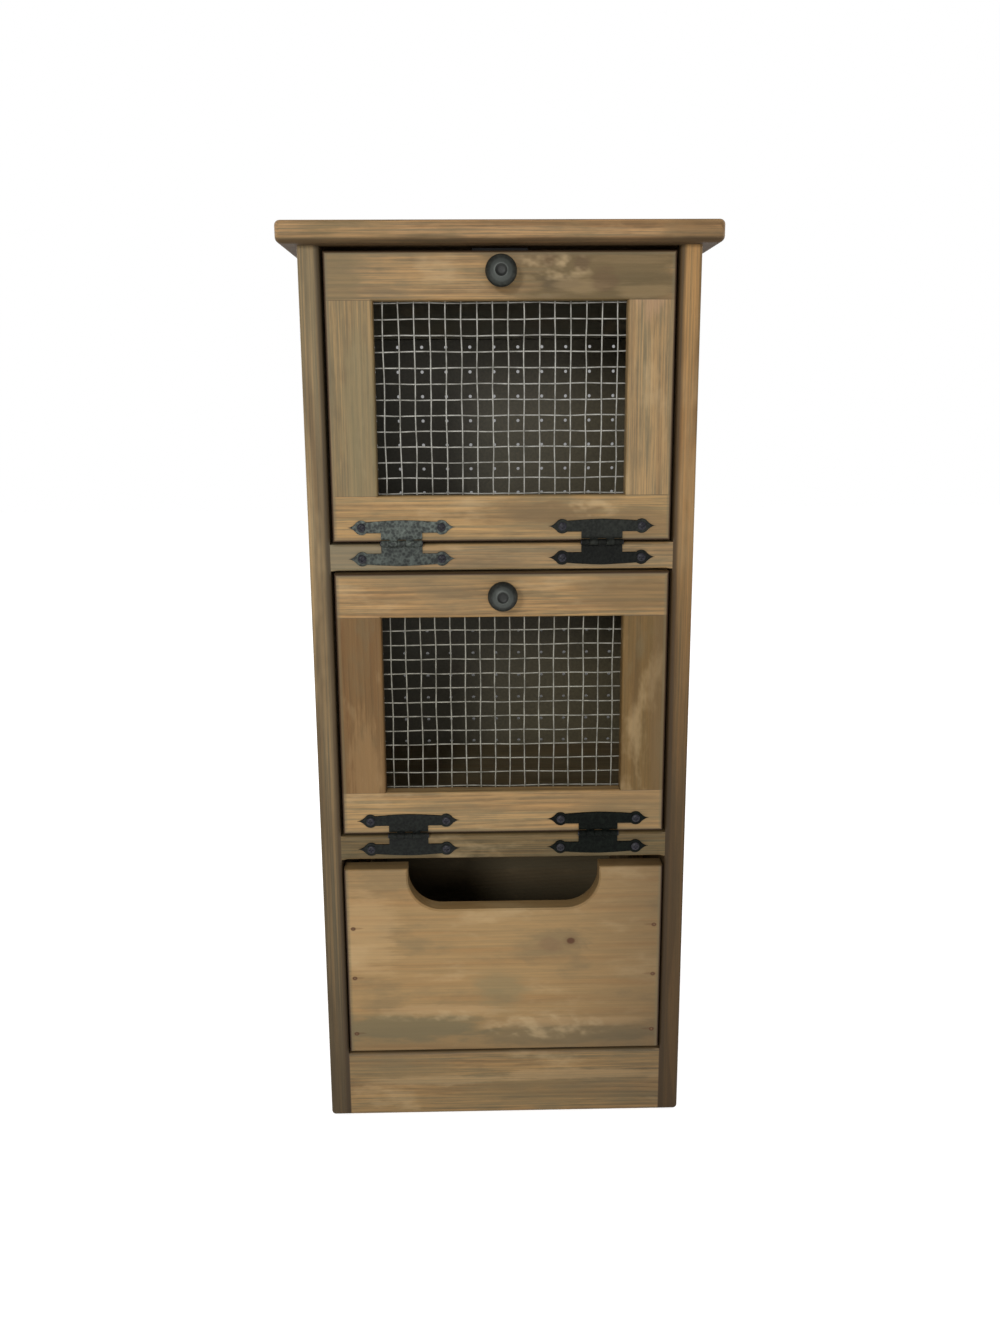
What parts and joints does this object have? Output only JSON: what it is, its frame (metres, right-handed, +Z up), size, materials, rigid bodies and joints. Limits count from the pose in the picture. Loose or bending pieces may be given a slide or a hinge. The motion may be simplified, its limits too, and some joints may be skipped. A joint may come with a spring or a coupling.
{
  "type": "vegetable cabinet",
  "caption": "Slim pine cabinet with two wire-mesh doors that tilt out on black butterfly hinges above a pull-out bin with a hand cut-out, and a perforated back.",
  "frame": {"origin": "on the floor, under the middle of the outer box (knobs and top overhang included)", "axes": "+Z up, the doors and bin face -Y, +X towards the cabinet's left-hand side as it faces"},
  "size_m": [0.35, 0.3434, 0.781],
  "materials": {
    "pine": "thin worn stain, satin",
    "hardboard": "dark smooth face",
    "thin_board": "bare",
    "black_knob": "satin black",
    "black_iron": "hammered black",
    "black_screws": "black, rubbed",
    "mesh_wire": "galvanised",
    "bright_steel": "zinc plated",
    "catch_case": "brown moulded"
  },
  "bodies": {
    "cabinet": {"left_side": "pine", "right_side": "pine", "base_rail": "pine", "lower_rail": "pine", "upper_rail": "pine", "bottom_board": "pine", "lower_shelf": "pine", "upper_shelf": "pine", "perforated_back": "hardboard", "back_top_rail": "pine", "top_board": "pine", "top_cleat_left": "pine", "top_cleat_right": "pine", "lower_catch": "catch_case", "upper_catch": "catch_case", "carcass_nails": "bright_steel", "hinge_pins": "black_screws", "upper_cabinet_leaf_left": "black_iron", "upper_cabinet_leaf_right": "black_iron", "upper_cabinet_leaf_screws": "black_screws", "lower_cabinet_leaf_left": "black_iron", "lower_cabinet_leaf_right": "black_iron", "lower_cabinet_leaf_screws": "black_screws"},
    "upper_door": {"upper_door_bottom_rail": "pine", "upper_door_top_rail": "pine", "upper_door_left_stile": "pine", "upper_door_right_stile": "pine", "upper_door_mesh": "mesh_wire", "upper_door_knob": "black_knob", "upper_door_staples": "bright_steel", "upper_door_knob_screw": "bright_steel", "upper_door_strike": "bright_steel", "upper_door_leaf_left": "black_iron", "upper_door_leaf_right": "black_iron", "upper_door_leaf_screws": "black_screws"},
    "lower_door": {"lower_door_bottom_rail": "pine", "lower_door_top_rail": "pine", "lower_door_left_stile": "pine", "lower_door_right_stile": "pine", "lower_door_mesh": "mesh_wire", "lower_door_knob": "black_knob", "lower_door_staples": "bright_steel", "lower_door_knob_screw": "bright_steel", "lower_door_strike": "bright_steel", "lower_door_leaf_left": "black_iron", "lower_door_leaf_right": "black_iron", "lower_door_leaf_screws": "black_screws"},
    "bin": {"bin_front": "pine", "bin_left_side": "pine", "bin_right_side": "pine", "bin_back": "pine", "bin_floor": "thin_board", "bin_nails": "bright_steel"}
  },
  "joints": [
    {"name": "upper_door_tilt", "type": "hinge", "parent": "cabinet", "child": "upper_door", "pos_m": [0, -0.14835, 0.52925], "axis": [1, 0, 0], "range_deg": [0, 90]},
    {"name": "lower_door_tilt", "type": "hinge", "parent": "cabinet", "child": "lower_door", "pos_m": [0, -0.14835, 0.2735], "axis": [1, 0, 0], "range_deg": [0, 90]},
    {"name": "bin_pull", "type": "slide", "parent": "cabinet", "child": "bin", "axis": [0, -1, 0], "range_m": [0, 0.22]}
  ]
}
